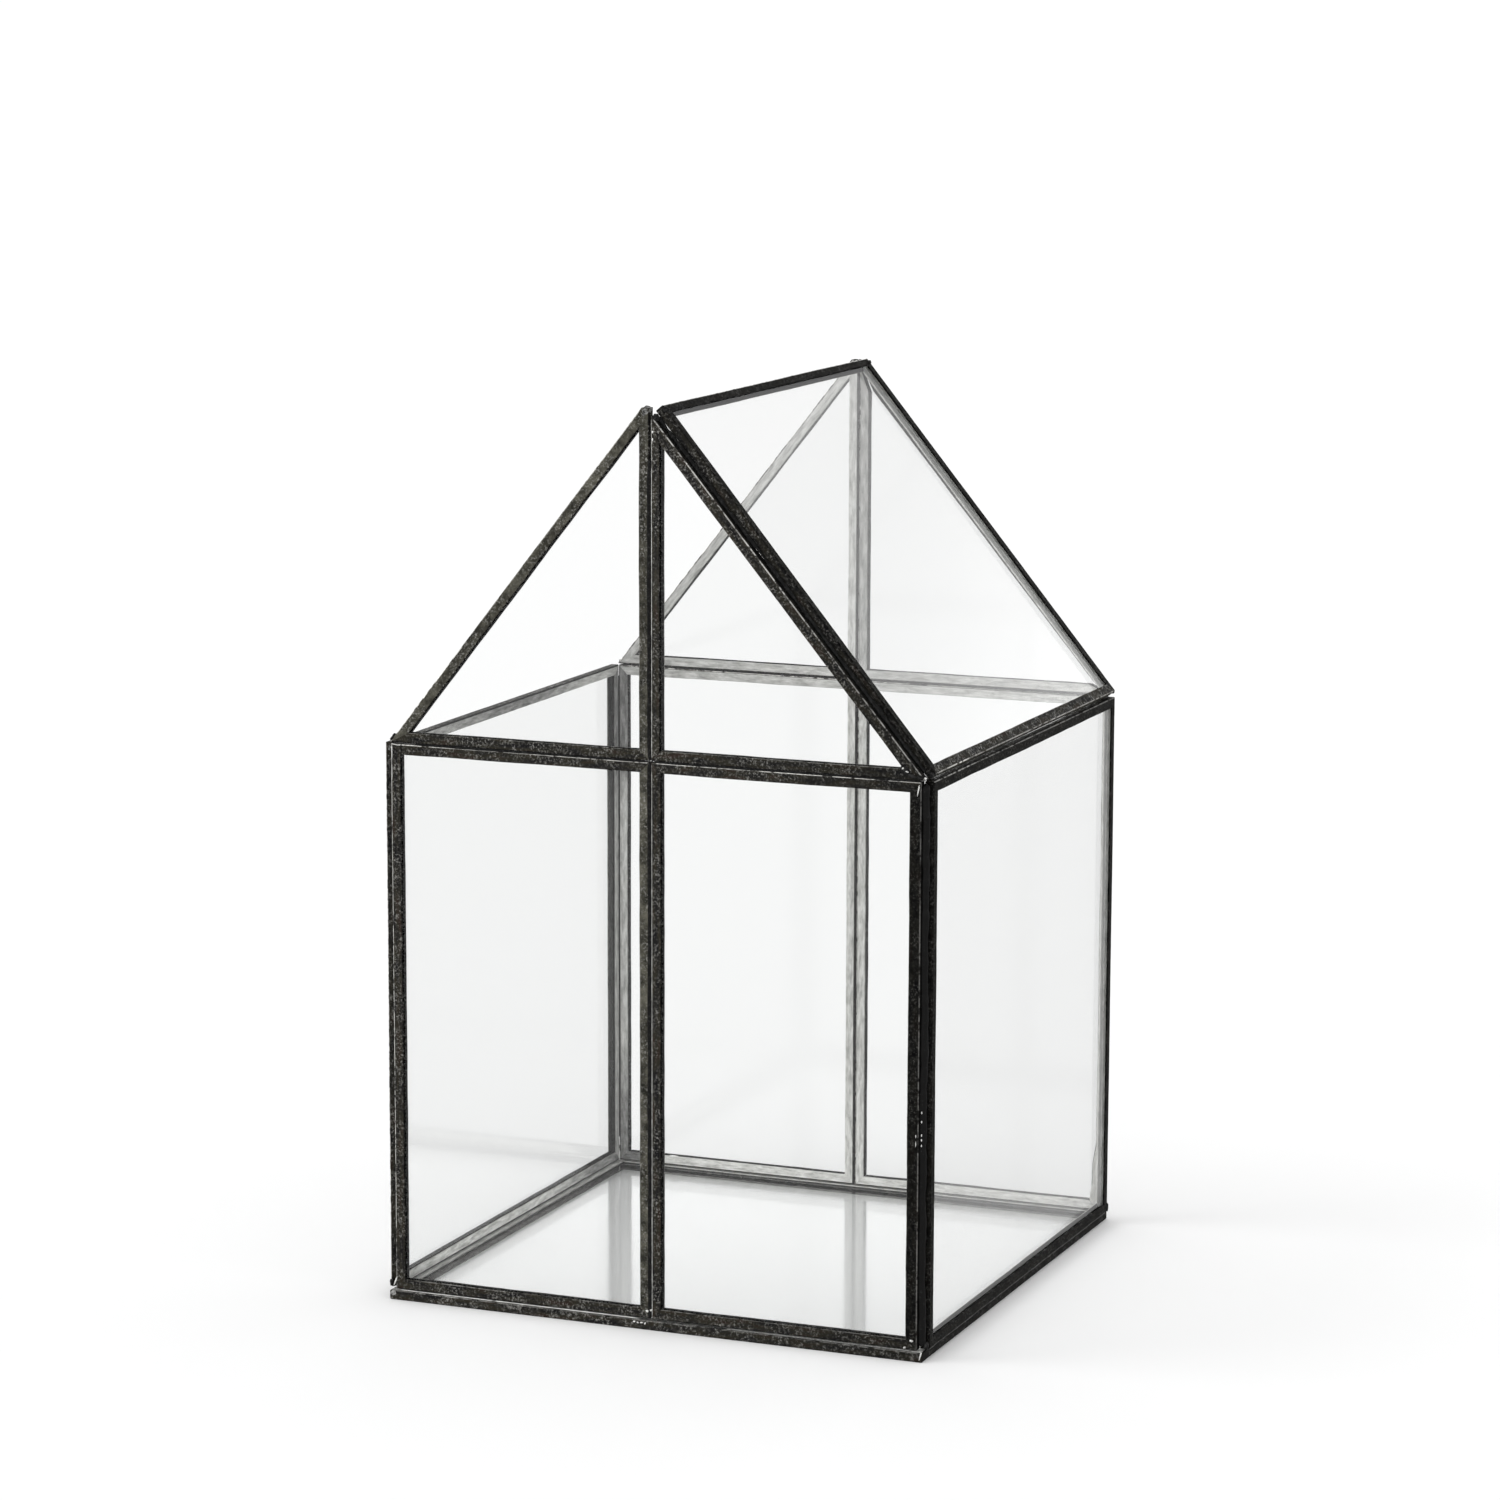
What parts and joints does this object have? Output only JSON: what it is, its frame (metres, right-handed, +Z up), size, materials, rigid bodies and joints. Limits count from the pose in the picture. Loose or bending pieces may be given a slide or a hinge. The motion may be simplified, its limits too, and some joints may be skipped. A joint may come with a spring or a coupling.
{
  "type": "house-shaped glass terrarium",
  "caption": "Small house-shaped plant case of flat glass panes, each framed in dark U-shaped came and soldered together, with half of its pitched roof left open",
  "frame": {"origin": "middle of the underside, on the surface that the house stands on", "axes": "+Z up, -Y out of the front gable, +X towards the wall and roof half that carry the roof panel"},
  "size_m": [0.2001, 0.1988, 0.3162],
  "materials": {
    "glass": "clear flat float glass, 2 mm",
    "patinated_came": "tinned folded strip with a worn black patina, brighter on its inner faces and edges",
    "solder": "patinated tin solder, lumpy, with bright spots"
  },
  "bodies": {
    "root": {"floor_glass": "glass", "left_wall_glass": "glass", "right_wall_glass": "glass", "front_left_glass": "glass", "front_right_glass": "glass", "back_left_glass": "glass", "back_right_glass": "glass", "front_left_gable_glass": "glass", "front_right_gable_glass": "glass", "back_left_gable_glass": "glass", "back_right_gable_glass": "glass", "roof_glass": "glass", "floor_came_front": "patinated_came", "floor_came_right": "patinated_came", "floor_came_back": "patinated_came", "floor_came_left": "patinated_came", "left_wall_came_bottom": "patinated_came", "left_wall_came_back": "patinated_came", "left_wall_came_top": "patinated_came", "left_wall_came_front": "patinated_came", "right_wall_came_bottom": "patinated_came", "right_wall_came_back": "patinated_came", "right_wall_came_top": "patinated_came", "right_wall_came_front": "patinated_came", "front_left_came_bottom": "patinated_came", "front_left_came_inner": "patinated_came", "front_left_came_top": "patinated_came", "front_left_came_outer": "patinated_came", "front_right_came_bottom": "patinated_came", "front_right_came_outer": "patinated_came", "front_right_came_top": "patinated_came", "front_right_came_inner": "patinated_came", "back_left_came_bottom": "patinated_came", "back_left_came_inner": "patinated_came", "back_left_came_top": "patinated_came", "back_left_came_outer": "patinated_came", "back_right_came_bottom": "patinated_came", "back_right_came_outer": "patinated_came", "back_right_came_top": "patinated_came", "back_right_came_inner": "patinated_came", "front_left_gable_came_base": "patinated_came", "front_left_gable_came_upright": "patinated_came", "front_left_gable_came_rake": "patinated_came", "front_right_gable_came_base": "patinated_came", "front_right_gable_came_rake": "patinated_came", "front_right_gable_came_upright": "patinated_came", "back_left_gable_came_base": "patinated_came", "back_left_gable_came_upright": "patinated_came", "back_left_gable_came_rake": "patinated_came", "back_right_gable_came_base": "patinated_came", "back_right_gable_came_rake": "patinated_came", "back_right_gable_came_upright": "patinated_came", "roof_came_eave": "patinated_came", "roof_came_back": "patinated_came", "roof_came_ridge": "patinated_came", "roof_came_front": "patinated_came", "solder_front": "solder", "solder_back": "solder", "solder_base": "solder", "solder_roof": "solder"}
  },
  "joints": []
}
